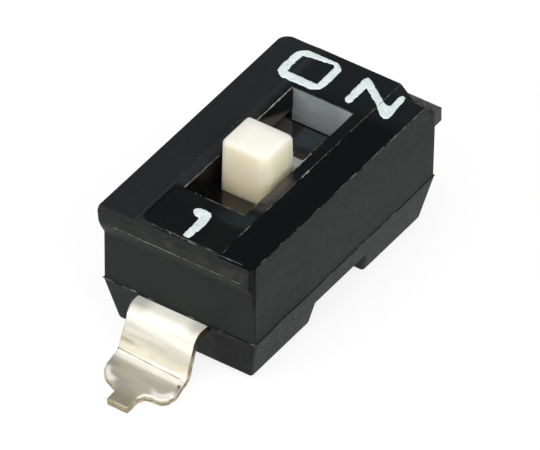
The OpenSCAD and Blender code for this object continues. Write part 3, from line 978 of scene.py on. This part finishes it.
def terminal(name, inner_end, turn):
    """A strip laid out flat as a distance field, cut, and folded along its line."""
    lead_l, lead_r = front_lo.x, front_hi.x - 0.03
    outline = [
        (-TONGUE_HALF, -inner_end), (-TONGUE_HALF, WIDER_P), (lead_l - 0.02, WIDER_P), (lead_l - 0.03, 3.35),
        (lead_l + 0.015, 3.8), *(flat(x, y) for x, y in FOOT_LINE), (lead_r - 0.02, 3.85),
        (lead_r - 0.01, 3.35), (lead_r, WIDER_P), (TONGUE_HALF, WIDER_P), (TONGUE_HALF, -inner_end),
    ]
    outer = inside_polygon(outline)
    grid_p = stations(-inner_end - 0.02, 2.4, 0.16) + stations(2.42, 3.36, 0.04)
    grid_p += stations(3.38, END_P, 0.022)

    def field(x, p):
        value = outer(x, p)
        if p > RAGGED_P:
            value += 0.006 * wave(x, p, 0, 6, 4.0) + 0.003 * wave(x, p, 0, 22, 4.0)
        return value

    def put(x, p, depth, under):
        y, z, tilt = strip_at(p - skew(x, p))
        off = -STRIP if under else 0.0
        # The wings' edges are rolled over further than the rest
        on_wing = clamp((p - P_CREASE) / 0.15) - clamp((p - P_FOOT - 0.75) / 0.2)
        roll = EDGE_ROLL + WING_ROLL * on_wing
        edge = clamp(1 + depth / roll)
        if p > FREE_P:
            off += (0.2 * roll if under else -0.85 * roll) * (1 - math.sqrt(max(0.0, 1 - edge * edge)))
            if not under:
                # Soft waves left by rolling and bending
                body = math.exp(-((p - P_WEB - DIP_AT) / DIP_W) ** 2)
                off += -DIP * body * (0.6 - 0.5 * x) + 0.004 * wave(x, p, 0, 2.2, 5.0)
        z_new = z + off * math.cos(tilt)
        if under:
            z_new = max(z_new, 0.0)
        return (x, -(y + off * math.sin(tilt)), z_new)

    bm = bmesh.new()
    places = [lambda x, p, d: put(x, p, d, False), lambda x, p, d: put(x, p, d, True)]
    cut_sheet(bm, field, stations(-1.02, 0.86, 0.03), grid_p, places, 1)
    bmesh.ops.reverse_faces(bm, faces=bm.faces)
    new_object(name, bm, [plate, brass_edge], "housing", (name.replace("_strip", ""),),
               smooth=50, turn=turn)


terminal("front_terminal_strip", 0.06, 0.0)
terminal("rear_terminal_strip", -0.26, math.pi)


# ------------------------ moulding fins, whitened edges and painted edge highlights
BEAD_STEP = 0.016
THINNEST = 0.0015  # a bead breaks off where its half width falls under this
# Its section: across in half widths, and up in heights
BEAD_SECTION = ((-1, -0.6), (-0.55, 0.7), (0, 1), (0.55, 0.7), (1, -0.6))


def close_bead(bm, rings, tone):
    """Skin a run of rings into one closed bead."""
    if len(rings) < 2:
        return
    loops = [[bm.verts.new(p) for p in ring] for ring in rings]
    made = [bm.faces.new(list(reversed(loops[0]))), bm.faces.new(loops[-1])]
    for first, second in zip(loops, loops[1:]):
        made += bridge(bm, first, second)
    for face in made:
        face.material_index = tone


def ridge(bm, start, end, rise, width, height, seed, gate, freq=5.0, tone=0):
    """A thin irregular bead from start to end; it breaks off where its noise falls under gate."""
    start, end, rise = Vector(start), Vector(end), Vector(rise).normalized()
    side = (end - start).normalized().cross(rise).normalized()
    count = max(2, int((end - start).length / BEAD_STEP))
    rings = []
    for i in range(count + 1):
        p = start.lerp(end, i / count)
        n = wave(p.x + p.z, p.y, 0, freq, seed) * 1.6
        fine = wave(p.x + p.z, p.y, 1, 19, seed) + 0.6 * wave(p.x + p.z, p.y, 2, 41, seed)
        level = clamp((n - gate) * 2 + 0.5 * fine)
        w = width * level * max(0.25, 0.8 + 0.4 * n + 0.6 * fine) / 2
        h = height * level * (0.8 + 0.5 * fine)
        if w < THINNEST:
            close_bead(bm, rings, tone)
            rings = []
            continue
        p = p + side * (0.006 * wave(p.x, p.y, 2, 8, seed) + 0.004 * wave(p.x, p.y, 3, 30, seed))
        rings.append([p + side * (u * w) + rise * (h * v) for u, v in BEAD_SECTION])
    close_bead(bm, rings, tone)


UP, FORWARD, OUT_RIGHT, FRONT = (0, 0, 1), (0, -0.6, 0.8), (1, 0, 1), (0, -1, 0)
BRIGHT = 1  # material index of the brighter beads, which paint highlights
panel_r, sl, sr = PANEL + 0.002, SLOT_L - 0.005, SLOT_R + 0.005
lip, seam_y, side_x, seam_z = 0.385, 3.226, 1.866, SEAM + 0.004


def lay(beads):
    """Beads on the cover; their points are x, y and the depth under the top face."""
    for start, end, *rest in beads:
        ridge(bm, (*start[:2], TOP - start[2]), (*end[:2], TOP - end[2]), *rest)


# Beads of pale plastic: on the seam they are fins, along the rim, lip, panel, slot and right edge they paint
# highlights
bm = bmesh.new()
# Start, end, way it rises, width, height, seed, gate, and for some the frequency and the tone
lay([
    # Front rim of the top
    ((-0.62, -3.252, 0.001), (0.98, -3.255, 0.001), UP, 0.034, 0.014, 2, -0.75),
    ((-0.45, -3.28, 0.003), (0.55, -3.285, 0.003), FORWARD, 0.040, 0.012, 4, -0.1, 9),
    ((0.98, -3.27, 0.020), (1.80, -3.245, 0.020), FORWARD, 0.028, 0.010, 3, -0.5),
    ((0.85, -3.31, 0.035), (1.72, -3.335, 0.055), FORWARD, 0.022, 0.008, 5, -0.15, 7),
    # Lower edge of the lip, the faint line under it and a mark over it
    ((-1.45, -3.41, lip), (1.64, -3.41, lip), (0, -1, -0.1), 0.030, 0.012, 6, -1.0, 2),
    ((-0.85, -3.41, lip), (-0.60, -3.41, lip), FRONT, 0.042, 0.014, 7, -0.9, 3),
    ((0.8, -3.355, 0.53), (1.72, -3.345, 0.53), FRONT, 0.024, 0.008, 8, -0.8, 3),
    ((1.1, -3.40, 0.22), (1.70, -3.385, 0.24), (0, -1, 0.2), 0.020, 0.007, 33, -0.4, 4),
    # Edges of the middle panel
    ((panel_r + 0.03, -3.2, 0.008), (panel_r + 0.01, -2.95, 0.008), UP, 0.022, 0.010, 9, -0.8),
    ((panel_r, -2.66, 0.008), (panel_r, -2.10, 0.008), UP, 0.034, 0.015, 10, -0.8),
    ((panel_r, -2.10, 0.008), (panel_r, 3.18, 0.008), UP, 0.017, 0.009, 11, -0.6, 4),
    ((-PANEL, -1.7, 0.012), (-PANEL, 0.9, 0.012), UP, 0.030, 0.008, 35, 0.25, 5),
    # Slot: left edge, front edge, right edge and rear edge
    ((sl - 0.01, -1.95, 0.002), (sl, -1.30, 0.002), UP, 0.046, 0.016, 12, -1.2, 3),
    ((sl, -1.30, 0.002), (sl, -0.75, 0.002), UP, 0.024, 0.010, 13, -0.8, 4),
    ((sl, 0.40, 0.002), (sl, 1.87, 0.002), UP, 0.034, 0.014, 15, -1.3, 3, BRIGHT),
    ((sl, -1.945, 0.042), (-0.35, -1.95, 0.042), UP, 0.036, 0.014, 16, -0.5, 8),
    ((-0.35, -1.95, 0.042), (0.93, -1.955, 0.042), UP, 0.024, 0.012, 17, -0.45, 6),
    ((sr, -1.93, 0.002), (sr, 1.87, 0.002), UP, 0.014, 0.007, 18, -0.4, 3),
    ((sr + 0.005, -0.32, 0.003), (sr + 0.005, 0.36, 0.003), UP, 0.040, 0.014, 34, -1.3, 5, BRIGHT),
    ((panel_r, -0.35, 0.006), (panel_r, -0.10, 0.006), UP, 0.034, 0.012, 36, -1.3, 6, BRIGHT),
    ((SLOT_L, SLOT_REAR + 0.002, 0.002), (SLOT_R, SLOT_REAR + 0.002, 0.002), UP, 0.014, 0.006, 19, -0.8, 4),
    # Right edge of the top
    ((1.842, -3.0, 0.022), (1.842, 0.2, 0.022), OUT_RIGHT, 0.016, 0.007, 20, -0.35, 3),
    ((1.842, 0.2, 0.022), (1.842, 2.85, 0.022), OUT_RIGHT, 0.022, 0.009, 21, -0.8, 3),
])
# Seam, at the two ends and along the two sides
for sy, seed in ((-1, 22), (1, 25)):
    y, rise = sy * seam_y, (0, sy, 0.5)
    ridge(bm, (-1.86, y, seam_z), (-0.98, y, seam_z), rise, 0.034, 0.014, seed, -0.45, 4)
    ridge(bm, (-0.95, y, seam_z), (0.70, y, seam_z), rise, 0.018, 0.008, seed + 1, 0.1, 4)
    ridge(bm, (0.74, y, seam_z), (1.86, y, seam_z), rise, 0.014, 0.006, seed + 2, 0.1, 4)
for sx, seed in ((-1, 28), (1, 29)):
    x = sx * side_x
    ridge(bm, (x, -3.2, seam_z), (x, 3.2, seam_z), (sx, 0, 0.5), 0.013, 0.005, seed, 0.0, 2)
# Crossing marks behind the right rear corner
lay([
    ((1.01, 3.2, 0.01), (1.34, 3.17, 0.30), (0.6, 0.2, 0.8), 0.022, 0.010, 30, -0.8),
    ((1.37, 3.42, 0.38), (1.76, 3.11, 0.28), (0, 0.2, 1), 0.030, 0.016, 31, -0.8),
    ((1.53, 3.45, 0.40), (1.79, 3.22, 0.35), (0, 0.2, 1), 0.030, 0.016, 32, -0.8),
])
bmesh.ops.recalc_face_normals(bm, faces=bm.faces)
new_object("mould_flash_and_highlights", bm, [dim_flash_and_highlight, bright_flash_and_highlight], "housing", smooth=70)


# ------------------------ floor, light and world
FLOOR_HALF = 250
PLAIN_GREY = 0.86  # the floor to diffuse rays; the other rays see the next two added up
THIN_GREY, GLOW = 0.22, 0.82
WORLD_GREY = 0.08


def grey(level):
    return (level, level, level, 1)


def wire(nt, kind, *sockets):
    """Adds a node and links the sockets to its first inputs."""
    node = nt.nodes.new(kind)
    for source, target in zip(sockets, node.inputs):
        nt.links.new(source, target)
    return node


def make_floor():
    """A floor that is near white to the camera, in mirrors and through glass, and takes the shadow."""
    m = bpy.data.materials.new("pale_floor")
    m.use_nodes = True
    nt = m.node_tree
    nt.nodes.clear()
    rays = wire(nt, "ShaderNodeLightPath").outputs
    mirrored = wire(nt, "ShaderNodeMath", rays["Is Glossy Ray"], rays["Is Transmission Ray"])
    seen = wire(nt, "ShaderNodeMath", rays["Is Camera Ray"], mirrored.outputs[0])
    mirrored.operation = seen.operation = "MAXIMUM"
    plain = wire(nt, "ShaderNodeBsdfDiffuse")
    plain.inputs["Color"].default_value = grey(PLAIN_GREY)
    thin = wire(nt, "ShaderNodeBsdfDiffuse")
    thin.inputs["Color"].default_value = grey(THIN_GREY)
    glow = wire(nt, "ShaderNodeEmission")
    glow.inputs["Strength"].default_value = GLOW
    both = wire(nt, "ShaderNodeAddShader", thin.outputs[0], glow.outputs[0])
    choose = wire(nt, "ShaderNodeMixShader", seen.outputs[0], plain.outputs[0], both.outputs[0])
    wire(nt, "ShaderNodeOutputMaterial", choose.outputs[0])
    bm = bmesh.new()
    bmesh.ops.create_grid(bm, x_segments=1, y_segments=1, size=FLOOR_HALF)
    floor = mesh_object("floor", bm, [m])


def area_light(name, direction, distance, size, radiance):
    """A soft rectangular light, in metres, that looks at the part; radiance is what a mirror would show."""
    data = bpy.data.lights.new(name, "AREA")
    data.shape = "RECTANGLE"
    data.size, data.size_y = size
    data.energy = radiance * math.pi * size[0] * size[1]
    obj = bpy.data.objects.new(name, data)
    d = Vector(direction).normalized()
    obj.location = d * distance
    obj.rotation_euler = d.to_track_quat("Z", "Y").to_euler()
    bpy.context.scene.collection.objects.link(obj)


make_floor()
for lamp in (
    ("overhead", (-0.05, -0.45, 1), 0.30, (0.40, 0.40), 1.68),
    ("front", (-0.35, -1, 0.55), 0.35, (0.34, 0.20), 1.85),
    ("side", (1, -0.25, 0.7), 0.35, (0.32, 0.24), 2.95),
    ("rear", (-0.6, 0.9, 0.26), 0.40, (0.40, 0.10), 0.9),
):
    area_light(*lamp)
world = bpy.data.worlds.new("studio")
bpy.context.scene.world = world
world.use_nodes = True
world.node_tree.nodes["Background"].inputs["Color"].default_value = grey(WORLD_GREY)
